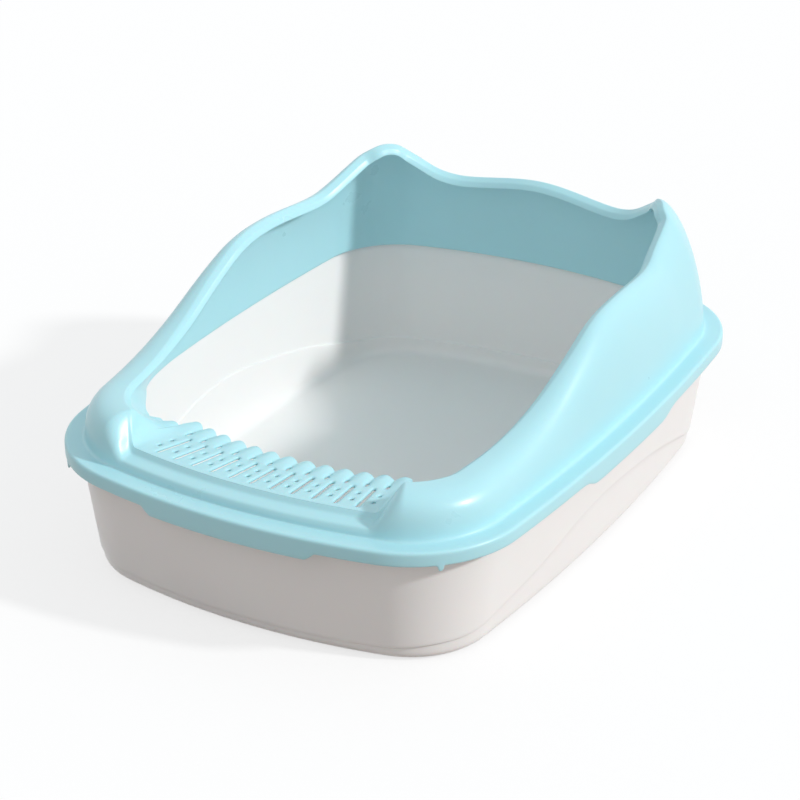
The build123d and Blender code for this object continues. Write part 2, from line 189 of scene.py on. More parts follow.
class Ring:
    """Plan points by place: 0-1 front bow, 1-2 corner, 2-3 side, 3-4 corner, 4-5 rear bow."""

    rim_line = 44.8

    def __init__(self, outline: Outline) -> None:
        """Keep the outline and work out its arcs once."""
        self.outline = outline
        self.arcs = outline.arcs()

    def point(self, place: float, inset: float, height: float = 0.0) -> Vector:
        """Return the point at a place, moved inward by inset and up to height."""
        index = min(int(max(place, 0.0)), len(self.arcs) - 1)
        found = self.arcs[index].point(place - index, inset)
        found.z = height
        return found

    def level(self, inset: float, height: float) -> Rail:
        """Return a rail at one inset and height."""
        return lambda place: self.point(place, inset, height)

    def length(self, place: float) -> float:
        """Return the length of the rim's line from the front centre to a place."""
        if place < 0.0:
            return -self.length(-place)
        shares = [min(max(place - index, 0.0), 1.0) for index in range(len(self.arcs))]
        return sum((a.radius - self.rim_line) * (a.stop - a.start) * s for a, s in zip(self.arcs, shares))

    def ease(self, place: float, low: float, high: float) -> float:
        """Return a smooth 0 to 1 as the rim goes on from one place to another."""
        return ease(self.length(place), self.length(low), self.length(high))

    def lay(self, rows: Sequence[Sequence[float]]) -> Stations:
        """Return stations at lengths along the rim, given rows that start with their place."""
        return Stations(tuple((self.length(row[0]), *row[1:]) for row in rows))

    def bow_turn(self) -> float:
        """Return the angle that half of the front bow spans."""
        return self.arcs[0].stop - self.arcs[0].start


class Sheet:
    """Half of a moulding's skin: a grid wrapped round its section, then mirrored."""

    def __init__(self, places: Sequence[float], rails: Sequence[Rail]) -> None:
        """Lay a grid with one row for each rail and one column for each place.

        Args:
            places: Places along the ring, from the front centre to the rear centre.
            rails: Functions that give a row's point, in millimetres, at a place.
        """
        self.mesh: BMesh = bmesh.new()
        rows, columns = len(rails) - 1, len(places) - 1
        made = bmesh.ops.create_grid(self.mesh, x_segments=rows, y_segments=columns, size=0.5)
        self.table: dict[tuple[int, int], BMVert] = {}
        for vert in made["verts"]:
            row = round((vert.co.x + 0.5) * rows)
            column = round((vert.co.y + 0.5) * columns)
            self.table[row, column] = vert
        for (row, column), vert in self.table.items():
            vert.co = rails[row](places[column]) * MILLIMETRE

    def patch(self, row: int, columns: Pair) -> list[BMFace]:
        """Return the faces between a row and the next, over a span of columns."""
        found = []
        for column in range(int(columns[0]), int(columns[1])):
            corners = [self.table[row + i, column + j] for i, j in ((0, 0), (1, 0), (1, 1), (0, 1))]
            face = self.mesh.faces.get(corners)
            if face:
                found.append(face)
        return found

    def pierce(self, over: Iterable[BMFace], under: Iterable[BMFace]) -> None:
        """Cut a hole through two skins and wall its sides.

        An edge on the mirror plane has one face and is left open: the mirrored half meets it there.

        Args:
            over: Faces of the upper skin to open.
            under: The faces below them.
        """
        sides = [list(over), list(under)]
        edges = []
        for faces in sides:
            inside = set(faces)
            rim = {e for f in faces for e in f.edges if sum(g in inside for g in e.link_faces) == 1}
            edges.extend(e for e in rim if len(e.link_faces) > 1)
        bmesh.ops.delete(self.mesh, geom=sides[0] + sides[1], context="FACES_KEEP_BOUNDARY")
        bmesh.ops.bridge_loops(self.mesh, edges=edges)

    def finish(self, name: str, plastic: "Plastic") -> bpy.types.Object:
        """Mirror the half, close it and return it as a smooth, dressed object.

        Args:
            name: Name of the piece.
            plastic: Plastic that the piece is moulded in.

        Returns:
            The new object, linked to the scene.
        """
        bmesh.ops.remove_doubles(self.mesh, verts=self.mesh.verts[:], dist=WELD_DISTANCE)
        everything = self.mesh.verts[:] + self.mesh.edges[:] + self.mesh.faces[:]
        bmesh.ops.mirror(self.mesh, geom=everything, matrix=Matrix(), merge_dist=WELD_DISTANCE, axis="X")
        bmesh.ops.remove_doubles(self.mesh, verts=self.mesh.verts[:], dist=WELD_DISTANCE)
        bmesh.ops.recalc_face_normals(self.mesh, faces=self.mesh.faces[:])
        for face in self.mesh.faces:
            face.smooth = True
        data = bpy.data.meshes.new(name)
        self.mesh.to_mesh(data)
        self.mesh.free()
        data.materials.append(plastic.material())
        made = bpy.data.objects.new(name, data)
        bpy.context.scene.collection.objects.link(made)
        smoother = made.modifiers.new("round_off", "SUBSURF")
        smoother.levels = SMOOTH_LEVELS
        smoother.render_levels = SMOOTH_LEVELS
        return made


@dataclass(frozen=True)
class Plastic:
    """A moulded plastic: satin gloss over a faint orange-peel grain."""

    name: str
    colour: tuple[float, float, float]
    deep_colour: tuple[float, float, float]
    roughness: float = 0.33
    roughness_spread: float = 0.06
    grain_size: float = 900.0
    grain_height: float = 0.00003
    ripple_size: float = 28.0
    ripple_height: float = 0.00025
    mottle_size: float = 9.0
    smudge_size: float = 22.0
    smudge_span: Pair = (0.3, 0.7)
    refraction: float = 1.49
    specular: float = 0.5
    glow: float = 0.08
    glow_depth: float = 0.004

    def material(self) -> bpy.types.Material:
        """Return the procedural material."""
        made = bpy.data.materials.new(self.name)
        made.use_nodes = True
        tree = made.node_tree
        shader = tree.nodes["Principled BSDF"]
        shader.inputs["IOR"].default_value = self.refraction
        shader.inputs["Specular IOR Level"].default_value = self.specular
        shader.inputs["Subsurface Weight"].default_value = self.glow
        shader.inputs["Subsurface Scale"].default_value = self.glow_depth
        place = tree.nodes.new("ShaderNodeTexCoord").outputs["Object"]
        mottle = self.noise(tree, place, self.mottle_size, detail=3.0)
        tint = tree.nodes.new("ShaderNodeMix")
        tint.data_type = "RGBA"
        tint.inputs["A"].default_value = (*self.deep_colour, 1.0)
        tint.inputs["B"].default_value = (*self.colour, 1.0)
        tree.links.new(mottle, tint.inputs["Factor"])
        tree.links.new(tint.outputs["Result"], shader.inputs["Base Color"])
        self.add_roughness(tree, place, shader)
        self.add_bump(tree, place, shader)
        return made

    def noise(
        self, tree: bpy.types.NodeTree, place: bpy.types.NodeSocket, scale: float, detail: float
    ) -> bpy.types.NodeSocket:
        """Return the output of a noise texture read at the object's own coordinates."""
        texture = tree.nodes.new("ShaderNodeTexNoise")
        texture.inputs["Scale"].default_value = scale
        texture.inputs["Detail"].default_value = detail
        tree.links.new(place, texture.inputs["Vector"])
        return texture.outputs["Fac"]

    def add_roughness(
        self, tree: bpy.types.NodeTree, place: bpy.types.NodeSocket, shader: bpy.types.Node
    ) -> None:
        """Vary the gloss gently, as handling and the mould leave it."""
        smudge = self.noise(tree, place, self.smudge_size, detail=5.0)
        gloss = tree.nodes.new("ShaderNodeMapRange")
        gloss.inputs["From Min"].default_value = self.smudge_span[0]
        gloss.inputs["From Max"].default_value = self.smudge_span[1]
        gloss.inputs["To Min"].default_value = self.roughness - self.roughness_spread
        gloss.inputs["To Max"].default_value = self.roughness + self.roughness_spread
        tree.links.new(smudge, gloss.inputs["Value"])
        tree.links.new(gloss.outputs["Result"], shader.inputs["Roughness"])

    def add_bump(
        self, tree: bpy.types.NodeTree, place: bpy.types.NodeSocket, shader: bpy.types.Node
    ) -> None:
        """Add the fine grain over the slow ripples of a large thin moulding."""
        grain = tree.nodes.new("ShaderNodeBump")
        grain.inputs["Distance"].default_value = self.grain_height
        tree.links.new(self.noise(tree, place, self.grain_size, detail=2.0), grain.inputs["Height"])
        ripple = tree.nodes.new("ShaderNodeBump")
        ripple.inputs["Distance"].default_value = self.ripple_height
        tree.links.new(self.noise(tree, place, self.ripple_size, detail=1.0), ripple.inputs["Height"])
        tree.links.new(ripple.outputs["Normal"], grain.inputs["Normal"])
        tree.links.new(grain.outputs["Normal"], shader.inputs["Normal"])


SKY_BLUE = Plastic("sky_blue_plastic", (0.46, 0.785, 0.85), (0.435, 0.765, 0.835))
WARM_WHITE = Plastic("warm_white_plastic", (0.92, 0.90, 0.885), (0.90, 0.875, 0.86), roughness=0.36)


@dataclass
class Surround:
    """The lift-off surround: flange, skirt, rolled rim, shoulders and the slotted step."""

    ring: Ring
    flange_top: float = 105.0
    skin: float = 2.2
    skirt_depth: float = 11.5
    edge_round: float = 2.0
    crease_inset: float = 16.0
    mid_corners: Pair = (1.5, 3.5)
    tab_depth: float = 6.2
    tab_half: float = 75.0
    tab_slant: float = 7.0
    side_tab_y: float = 4.0
    lug_place: float = 1.42
    lug_half: float = 0.017
    lug_blend: float = 0.004
    lug_drop: float = 4.5
    roll_reach: float = 4.5
    roll_rise: float = 2.5
    low_roll: float = 0.3
    roll_ends: Pair = (2.0, 2.45)
    lip_reach: float = 3.0
    lip_fall: float = 5.5
    soft_lip: float = 0.45
    lip_ends: Pair = (1.9, 2.3)
    deck_front: float = 32.5
    deck_front_rise: float = 12.6
    deck_front_lip: float = 0.7
    deck_back: float = 98.0
    deck_back_rise: float = 4.5
    deck_back_ends: Pair = (1.2, 2.3)
    deck_back_bow: float = 5.0
    deck_skin: float = 2.6
    edge_wall: float = 2.4
    step_end: float = 0.92
    step_blend: float = 0.26
    pitch: float = math.radians(1.97)
    slotted_halves: int = 11
    columns_per_pitch: int = 8
    hole_half: float = 0.083
    long_span: Pair = (39.0, 75.0)
    small_spans: tuple[Pair, Pair] = ((49.0, 52.4), (61.5, 64.9))
    short_span: Pair = (76.5, 84.0)
    lobe_rise: float = 2.6
    lobe_under: float = 0.6
    lobe_reach: float = 3.6
    lobe_span: Pair = (70.0, 90.0)
    lobe_ends: Pair = (1.3, 1.5)
    scallop_span: Pair = (84.0, 98.0)
    last_lobe: float = 8.5
    lobe_fade: Pair = (1.0, 0.2)
    lobe_fullness: float = 0.8
    dish_ends: Pair = (0.86, 1.3)
    dish_depth: float = 0.35
    dish_grows: Pair = (0.95, 1.2)
    dish_fades: Pair = (1.5, 2.0)
    shoulder_rise: float = 30.2
    inner_turn: float = 0.82
    inner_wall_from: float = 1.9
    opening_join: Pair = (2.36, 2.5)
    hollow_flattens: float = 2.0
    hollow_ends: Pair = (2.18, 2.36)
    strip_inset: float = 6.0
    strip_bias: float = 1.6
    # Turn up the wall's section, then inset and rise of the same row on the step.
    step_rows: tuple[tuple[float, float, float], ...] = (
        (0.03, 16.15, 0.9),
        (0.10, 16.3, 1.8),
        (0.20, 16.5, 2.8),
        (0.31, 16.8, 3.8),
        (0.43, 17.2, 4.7),
        (0.55, 17.6, 5.5),
        (0.66, 18.1, 6.2),
        (0.76, 18.8, 6.8),
        (0.84, 19.9, 7.2),
        (0.90, 22.5, 7.5),
        (0.935, 26.5, 8.0),
        (0.96, 28.6, 8.5),
        (0.975, 29.8, 9.8),
        (0.987, 30.9, 11.5),
        (1.0, 32.0, 12.45),
    )
    # The same, from under the deck down to the foot.
    under_step_rows: tuple[tuple[float, float, float], ...] = (
        (0.93, 34.0, 10.2),
        (0.85, 31.8, 7.0),
        (0.75, 27.0, 5.6),
        (0.55, 21.0, 4.6),
        (0.3, 19.2, 2.0),
    )
    # Distances behind the flange's front edge.
    deck_rows: tuple[float, ...] = (
        36.5, 39.0, 44.0, 49.0, 52.4, 57.0, 61.5, 64.9, 70.0, 75.0, 76.5, 80.0, 84.0, 88.0, 92.0, 95.5,
    )
    # Place, lean inward, rise over the flange, fullness of the section.
    rim_rows: tuple[tuple[float, ...], ...] = (
        (0.0, 31.0, 33.0, 3.0),
        (1.0, 31.0, 33.0, 3.0),
        (1.55, 33.0, 32.0, 3.0),
        (1.95, 32.5, 32.0, 3.0),
        (2.12, 31.0, 35.0, 3.0),
        (2.26, 29.5, 46.0, 2.9),
        (2.42, 28.3, 68.5, 2.6),
        (2.52, 28.8, 81.5, 2.3),
        (2.64, 29.3, 84.0, 2.1),
        (2.84, 32.0, 80.0, 2.0),
        (2.9, 34.8, 86.5, 1.8),
        (3.0, 37.5, 98.0, 1.7),
        (3.25, 42.0, 103.0, 1.65),
        (3.5, 42.0, 104.8, 1.65),
        (3.8, 40.0, 102.5, 1.7),
        (4.0, 36.0, 95.5, 1.8),
        (4.1, 33.0, 88.0, 1.8),
        (4.2, 31.0, 80.5, 1.8),
        (4.4, 29.0, 76.0, 1.8),
        (5.0, 29.0, 83.0, 1.8),
    )
    # Place, distance from the side, distance from the front.
    opening_rows: tuple[tuple[float, ...], ...] = (
        (1.0, 103.2, 102.7),
        (1.35, 70.0, 107.0),
        (1.6, 60.0, 112.0),
        (1.8, 51.5, 122.5),
        (2.0, 43.0, 136.0),
        (2.2, 28.0, 170.0),
        (2.36, 20.0, 207.0),
    )

    def __post_init__(self) -> None:
        """Lay the stations of the rim and of the opening along the ring."""
        self.rim = self.ring.lay(self.rim_rows)
        self.opening = self.ring.lay(self.opening_rows)

    def places(self) -> list[float]:
        """Return the columns: on the slots' edges over the step, closer where the shape turns."""
        step = self.pitch / self.ring.bow_turn()
        quarters = (0.0, self.hole_half, 0.25, 0.5 - self.hole_half)
        found = [(half * 0.5 + quarter) * step for half in range(self.slotted_halves) for quarter in quarters]
        found += spread(self.slotted_halves * 0.5 * step, 1.0, 10) + spread(1.0, 1.2, 14)
        blend = (-self.lug_blend, self.lug_blend)
        lug = [self.lug_place + side * (self.lug_half + off) for side in (-1, 1) for off in blend]
        found += sorted(spread(1.2, 1.5, 10) + spread(1.5, 2.0, 12) + lug)
        for start, stop, count in ((2.0, 2.5, 20), (2.5, 3.0, 14), (3.0, 4.0, 24), (4.0, 5.0, 14)):
            found += spread(start, stop, count)
        return found + [self.ring.outline.end]

    def step_share(self, place: float) -> float:
        """Return 0 on the front step and 1 on the wall."""
        return self.ring.ease(place, self.step_end, self.step_end + self.step_blend)

    def wall_point(self, place: float, turn: float, thickness: float = 0.0) -> Pair:
        """Return inset and height on the wall's section.

        Args:
            place: Place along the ring.
            turn: 0 at the foot of the wall, 1 at its top.
            thickness: Depth below the outer skin.

        Returns:
            Inset from the outline and height above the floor.
        """
        lean, rise, fullness = (self.rim.at(self.ring.length(place), column) for column in (1, 2, 3))
        roll = mix(self.low_roll, 1.0, self.ring.ease(place, *self.roll_ends))
        lean -= self.roll_reach * roll
        rise += self.roll_rise * roll

        def section(share: float) -> Pair:
            angle = min(max(share, 0.0), 1.0) * math.pi / 2
            along = 1.0 - math.cos(angle) ** (2.0 / fullness)
            up = math.sin(angle) ** (2.0 / fullness)
            return self.crease_inset + lean * along, self.flange_top + rise * up

        inset, height = section(turn)
        if thickness:
            step = 0.01
            low, high = section(turn - step), section(turn + step)
            run, climb = high[0] - low[0], high[1] - low[1]
            length = math.hypot(run, climb)
            inset += thickness * climb / length
            height -= thickness * run / length
        return inset, height

    def outer(self, turn: float, step_inset: float, step_rise: float, thickness: float = 0.0) -> Rail:
        """Return a rail of the wall, easing into a point of the step's section.

        Args:
            turn: 0 at the foot of the wall, 1 at its top.
            step_inset: Inset of the row on the step.
            step_rise: Rise of the row over the flange on the step.
            thickness: Depth below the wall's outer skin.

        Returns:
            The rail's function.
        """

        def rail(place: float) -> Vector:
            share = self.step_share(place)
            inset, height = self.wall_point(place, turn, thickness)
            inset = mix(step_inset, inset, share)
            return self.ring.point(place, inset, mix(self.flange_top + step_rise, height, share))

        return rail

    def crest(self, inward: float, drop: float) -> Rail:
        """Return a rail beside the crest: inward of it by one distance and below it by another."""

        def rail(place: float) -> Vector:
            share = self.step_share(place)
            steep = mix(self.soft_lip, 1.0, self.ring.ease(place, *self.lip_ends))
            length = self.ring.length(place)
            inset = self.crease_inset + self.rim.at(length, 1) + inward
            height = self.flange_top + self.rim.at(length, 2) - drop * steep
            inset = mix(self.deck_front + inward * self.deck_front_lip, inset, share)
            height = mix(self.flange_top + self.deck_front_rise, height, share)
            return self.ring.point(place, inset, height)

        return rail

    def opening_point(self, place: float) -> Vector:
        """Return the edge of the inner opening, with the scallops of the step."""
        side = self.ring.point(place, self.crease_inset + self.skin)
        if place >= self.opening_join[1]:
            found = side
        elif place <= 1.0:
            found = self.ring.point(place, self.deck_back + self.deck_back_bow * place**2)
        else:
            half_width, half_length = self.ring.outline.width / 2, self.ring.outline.length / 2
            held = min(place, self.opening_join[0])
            far = self.ring.length(held)
            found = Vector((half_width - self.opening.at(far, 1), self.opening.at(far, 2) - half_length, 0.0))
            if place > held:
                start = self.ring.point(held, self.crease_inset + self.skin)
                found.y += side.y - start.y
            found = found.lerp(side, self.ring.ease(place, *self.opening_join))
        found.z = self.flange_top + self.deck_back_rise * (1.0 - self.ring.ease(place, *self.deck_back_ends))
        return found

    def lobe(self, point: Vector) -> float:
        """Return how far a point is on the crown of a lobe, 0 in the valleys between."""
        centre = self.ring.arcs[0].y
        across = math.atan2(point.x, centre - point.y) / self.pitch
        fade = 1.0 - ease(across, self.last_lobe - self.lobe_fade[0], self.last_lobe + self.lobe_fade[1])
        return fade * abs(math.cos(math.pi * across)) ** self.lobe_fullness

    def inner(self, share: float, sink: float = 0.0) -> Rail:
        """Return a rail of the inside, from the lip down to the opening.

        Args:
            share: 0 at the lip, 1 at the opening's edge.
            sink: Depth below the face.

        Returns:
            The rail's function.
        """
        lip = self.crest(self.lip_reach, self.lip_fall)
        ring = self.ring

        def face(place: float, down: float) -> Vector:
            here = abs(place)
            top, edge = lip(here), self.opening_point(here)
            if place < self.dish_ends[1]:
                slope = mix(ring.ease(here, *self.dish_ends), self.step_share(here), (1.0 - down) ** 3)
                low, high = self.flange_top + self.deck_front_rise, self.flange_top + self.shoulder_rise
                top.z = mix(low, high, slope)
            fading = 1.0 - ring.ease(place, *self.dish_fades)
            dish = 1.0 + self.dish_depth * ring.ease(place, *self.dish_grows) * fading
            found = top.lerp(edge, down)
            found.z = mix(edge.z, top.z, (1.0 - down) ** dish)
            inset, height = self.wall_point(here, mix(self.inner_turn, 0.0, down), self.skin)
            wall = ring.point(here, inset, height)
            found = found.lerp(wall, ring.ease(place, self.inner_wall_from, self.opening_join[1]))
            if place < 0.0:
                found.x = -found.x
            return found

        def rail(place: float) -> Vector:
            found = face(place, share)
            if sink:
                step = 0.01
                onward = face(place + step, share) - face(place - step, share)
                down = face(place, share + step) - face(place, share - step)
                found = found + down.cross(onward).normalized() * sink
            return found

        return rail

    def deck(self, behind: float, sink: float = 0.0) -> Rail:
        """Return a rail of the step's deck at a distance behind the flange's front edge."""
        start = self.deck_front + self.lip_reach
        plain = self.inner((behind - start) / (self.deck_back - start), sink)
        rise = self.lobe_rise * (1.0 if not sink else self.lobe_under)

        def rail(place: float) -> Vector:
            found = plain(place)
            near = ease(behind, *self.lobe_span) * (1.0 - ease(place, *self.lobe_ends))
            crown = self.lobe(found) * near
            found.z += rise * crown
            bow = Vector((0.0, self.ring.arcs[0].y, 0.0))
            inward = (bow - found.xy.to_3d()).normalized()
            return found + inward * (self.lobe_reach * (crown - near) * ease(behind, *self.scallop_span))

        return rail

    def edge(self, drop: float, out: float) -> Rail:
        """Return a rail below the opening's edge, set back from it.

        Args:
            drop: Depth below the deck's surface, or all the way to the flange's underside if negative.
            out: Distance back from the edge, into the moulding.

        Returns:
            The rail's function.
        """
        surface = self.deck(self.deck_back)
        under = self.flange_top - self.skin

        def rail(place: float) -> Vector:
            here = surface(place)
            step = 0.004
            ahead, back = self.opening_point(place + step), self.opening_point(max(place - step, 0.0))
            onward = (ahead - back).xy.normalized()
            if place == 0.0:
                onward = Vector((1.0, 0.0))
            found = here + Vector((onward.y, -onward.x, 0.0)) * out
            found.z = under if drop < 0.0 else max(here.z - drop, under)
            return found

        return rail

    def hollow(self) -> list[Rail]:
        """Return the rails under the step, which shrink to a strip of the flat underside."""
        under = self.flange_top - self.skin

        def foot(place: float) -> Vector:
            return self.ring.point(place, self.crease_inset + self.skin, under)

        edge_foot = self.edge(-1.0, self.edge_wall)
        below = [self.deck(behind, self.deck_skin) for behind in reversed(self.deck_rows)]
        outer = [self.outer(*row, self.skin) for row in self.under_step_rows]
        rows = [edge_foot, *below, *outer, foot]

        def closing(index: int) -> Rail:
            share = index / (len(rows) - 1)
            strip = mix(self.crease_inset, self.strip_inset, share)
            target = 1.0 - (1.0 - share) ** self.strip_bias

            def rail(place: float) -> Vector:
                flat = edge_foot(place).lerp(foot(place), target)
                flattening = self.ring.ease(place, self.hollow_flattens, self.hollow_ends[0])
                found = rows[index](place).lerp(flat, flattening)
                closed = self.ring.point(place, strip, under)
                return found.lerp(closed, self.ring.ease(place, *self.hollow_ends))

            return rail

        return [closing(index) for index in range(len(rows))]

    def skirt_bottom(self, place: float) -> float:
        """Return the height of the skirt's lower edge, with its tabs and lugs."""
        point = self.ring.point(place, 0.0)
        at_end = place < self.mid_corners[0] or place > self.mid_corners[1]
        off = abs(point.x) if at_end else abs(point.y - self.side_tab_y)
        share = 1.0 - min(max((off - self.tab_half + self.tab_slant) / self.tab_slant, 0.0), 1.0)
        away = abs(place - self.lug_place)
        lug = 1.0 - ease(away, self.lug_half - self.lug_blend, self.lug_half + self.lug_blend)
        return self.flange_top - self.skirt_depth - max(self.tab_depth * share, self.lug_drop * lug)

    def skirt(self, inset: float, above: float) -> Rail:
        """Return a rail of the skirt just above its lower edge."""
        return lambda place: self.ring.point(place, inset, self.skirt_bottom(place) + above)

    def bands(self) -> dict[str, list[Rail]]:
        """Return every row of the skin by its band, in order once round the section."""
        top, under, level = self.flange_top, self.flange_top - self.skin, self.ring.level
        round_ = self.edge_round
        skirt = [self.skirt(self.skin / 2, 0.0), self.skirt(0.3, 0.05), self.skirt(0.0, 0.6)]
        skirt += [level(0.0, top - round_ - 1.0), level(0.05, top - round_)]
        skirt += [level(round_ * 0.3, top - round_ * 0.3), level(round_, top)]
        flange = [level(round_ + 1.5, top), level(self.crease_inset - 2.5, top)]
        flange += [level(self.crease_inset - 0.5, top + 0.1)]
        rim = [self.crest(inward, drop) for inward, drop in ((-1.2, -0.35), (-0.2, 0.15), (0.35, 0.9))]
        rim += [self.crest(self.lip_reach - 0.4, self.lip_fall - 0.8)]
        rim += [self.crest(self.lip_reach, self.lip_fall)]
        back = [level(self.skin + 1.0, under), level(self.skin, under - 1.0)]
        back += [self.skirt(self.skin, 0.6), self.skirt(self.skin / 2, 0.0)]
        return {
            "skirt": skirt,
            "flange": flange,
            "wall": [self.outer(*row) for row in self.step_rows],
            "rim": rim,
            "deck": [self.deck(behind) for behind in self.deck_rows],
            "edge": [self.deck(self.deck_back - 0.8), self.edge(0.4, 0.0), self.edge(-1.0, 0.3)],
            "hollow": self.hollow(),
            "back": back,
        }

    def holes(self) -> list[tuple[float, Pair]]:
        """Return every slot and hole of the half: its place in pitches, and the rows it spans."""
        numbers = range((self.slotted_halves + 1) // 2)
        long_slots = [(float(n), self.long_span) for n in numbers]
        small = [(n + 0.5, span) for n in numbers for span in self.small_spans]
        short = [(n + 0.5, self.short_span) for n in numbers]
        return long_slots + small + short

    def build(self) -> bpy.types.Object:
        """Build the surround, pierce its step and put it in the frame."""
        bands = self.bands()
        firsts = dict(zip(bands, accumulate(map(len, bands.values()), initial=0)))
        sheet = Sheet(self.places(), [rail for band in bands.values() for rail in band])
        first_deck = firsts["deck"]
        last_under = firsts["hollow"] + len(self.deck_rows) - 1
        for pitches, (start, stop) in self.holes():
            middle = round(pitches * self.columns_per_pitch)
            columns = (max(middle - 1, 0), middle + 1)
            rows = range(self.deck_rows.index(start), self.deck_rows.index(stop))
            over = [f for row in rows for f in sheet.patch(first_deck + row, columns)]
            under = [f for row in rows for f in sheet.patch(last_under - row, columns)]
            sheet.pierce(over, under)
        made = sheet.finish("surround_skin", SKY_BLUE)
        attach(made, Piece.SURROUND.value)
        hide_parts("surround")
        return made


@dataclass
class Pan:
    """The litter pan: drafted wall with its wave, turned-down rim, rounded foot and floor."""

    ring: Ring
    top: float = 102.5
    wall: float = 2.2
    wall_top_inset: float = 13.2
    foot_inset: float = 25.3
    rim_edge: float = 3.2
    rim_thick: float = 2.2
    rim_hook: float = 6.5
    floor: float = 2.6
    foot_round: float = 8.0
    floor_round: float = 9.0
    wave_step: float = 1.3
    wave_slope: float = 0.3
    spine: float = 0.45
    spokes: tuple[float, ...] = (1.0, 0.7, 0.35, 0.08)
    round_turns: tuple[float, ...] = (90.0, 72.0, 54.0, 36.0, 18.0, 0.0)
    # Place and height of the line where the wall steps in, outside and inside.
    outer_wave_rows: tuple[Pair, ...] = (
        (0.0, 10.8),
        (1.0, 11.2),
        (1.4, 14.3),
        (1.8, 16.0),
        (2.0, 18.5),
        (2.2, 32.0),
        (2.36, 46.0),
        (2.46, 50.3),
        (2.56, 49.5),
        (2.7, 44.0),
        (2.82, 35.0),
        (2.93, 24.0),
        (3.05, 16.0),
        (3.4, 12.5),
        (5.0, 11.5),
    )
    inner_wave_rows: tuple[Pair, ...] = (
        (0.0, 16.0),
        (1.4, 19.0),
        (2.0, 23.5),
        (2.2, 37.0),
        (2.36, 51.5),
        (2.5, 56.0),
        (2.6, 54.0),
        (2.76, 44.5),
        (2.89, 34.5),
        (3.05, 22.0),
        (3.4, 17.5),
        (5.0, 16.5),
    )

    def __post_init__(self) -> None:
        """Lay the waves along the ring."""
        self.outer_wave = self.ring.lay(self.outer_wave_rows)
        self.inner_wave = self.ring.lay(self.inner_wave_rows)

    def places(self) -> list[float]:
        """Return the columns of the half."""
        spans = ((0.0, 1.0, 12), (1.0, 2.0, 20), (2.0, 3.0, 30), (3.0, 4.0, 20), (4.0, 5.0, 12))
        found = [place for start, stop, count in spans for place in spread(start, stop, count)]
        return found + [self.ring.outline.end]

    def draft(self, height: float) -> float:
        """Return the inset of the outer wall at a height."""
        return mix(self.foot_inset, self.wall_top_inset - self.wall, height / self.top)

    def across(self, inset: float, height: float, share: float) -> Rail:
        """Return a rail of a flat floor, a share of the way to the middle line."""

        def rail(place: float) -> Vector:
            found = self.ring.point(place, inset, height)
            middle = Vector((0.0, found.y * self.spine, height))
            return found.lerp(middle, share)

        return rail

    def on_wall(self, wave: Stations, lift: float, sunk: float, depth: float) -> Rail:
        """Return a rail of the wall beside its wave."""

        def rail(place: float) -> Vector:
            height = wave.at(self.ring.length(place)) + lift
            return self.ring.point(place, self.draft(height) + sunk + depth, height)

        return rail

    def between(self, wave: Stations, height: float, share: float, sunk: float, depth: float) -> Rail:
        """Return a rail of the wall between its wave and a level."""

        def rail(place: float) -> Vector:
            here = mix(wave.at(self.ring.length(place)), height, share)
            return self.ring.point(place, self.draft(here) + sunk + depth, here)

        return rail

    def rounding(self, inset: float, bottom: float, radius: float) -> list[Rail]:
        """Return the rails of a rounded foot, from the flat up to the wall."""
        turns = [math.radians(angle) for angle in self.round_turns]
        points = [(inset + radius * (1 - math.cos(t)), bottom + radius * (1 - math.sin(t))) for t in turns]
        return [self.ring.level(*point) for point in points]

    def rails(self) -> list[Rail]:
        """Return every row of the skin, from the middle of the underside to that of the floor."""
        edge, thick, top = self.rim_edge, self.rim_thick, self.top
        shoulder = top - thick
        foot = self.draft(self.foot_round) + self.wave_step
        hearth = self.draft(self.floor + self.floor_round) + self.wave_step + self.wall
        flat = foot + self.foot_round
        rows = [self.across(flat, 0.0, share) for share in self.spokes]
        rows += self.rounding(foot, 0.0, self.foot_round)
        step, slope = self.wave_step, self.wave_slope
        rows += [self.on_wall(self.outer_wave, lift, step, 0.0) for lift in (-slope - 0.4, -slope)]
        rows += [self.on_wall(self.outer_wave, lift, 0.0, 0.0) for lift in (0.0, 0.4)]
        rows += [self.between(self.outer_wave, shoulder, share, 0.0, 0.0) for share in (0.2, 0.5, 0.8, 0.97)]
        # Inset and height of the turned-down rim, from the wall outward, over the top and back in.
        rim = [
            (self.draft(shoulder) - 1.0, shoulder),
            (edge + thick + 0.6, shoulder),
            (edge + thick, shoulder - 0.6),
            (edge + thick, top - self.rim_hook + 0.4),
            (edge + thick * 0.8, top - self.rim_hook),
            (edge + thick * 0.2, top - self.rim_hook),
            (edge, top - self.rim_hook + 0.4),
            (edge, top - 1.6),
            (edge + 0.4, top - 0.4),
            (edge + 1.6, top),
            (self.wall_top_inset - 1.4, top),
            (self.wall_top_inset - 0.3, top - 0.2),
            (self.wall_top_inset + 0.05, top - 1.2),
        ]
        rows += [self.ring.level(*point) for point in rim]
        wall = self.wall
        rows += [self.between(self.inner_wave, top - 1.0, share, 0.0, wall) for share in (0.8, 0.5, 0.2)]
        rows += [self.on_wall(self.inner_wave, lift, 0.0, wall) for lift in (0.6, 0.0)]
        rows += [self.on_wall(self.inner_wave, lift, step, wall) for lift in (-slope, -slope - 0.6)]
        start = self.floor + self.floor_round
        rows += [self.between(self.inner_wave, start, share, step, wall) for share in (0.3, 0.65)]
        rows += list(reversed(self.rounding(hearth, self.floor, self.floor_round)))
        bed = hearth + self.floor_round
        rows += [self.across(bed, self.floor, share) for share in reversed(self.spokes)]
        return rows

    def build(self) -> bpy.types.Object:
        """Build the pan and put it in the frame."""
        made = Sheet(self.places(), self.rails()).finish("pan_skin", WARM_WHITE)
        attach(made, Piece.PAN.value)
        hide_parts("base_pan")
        return made


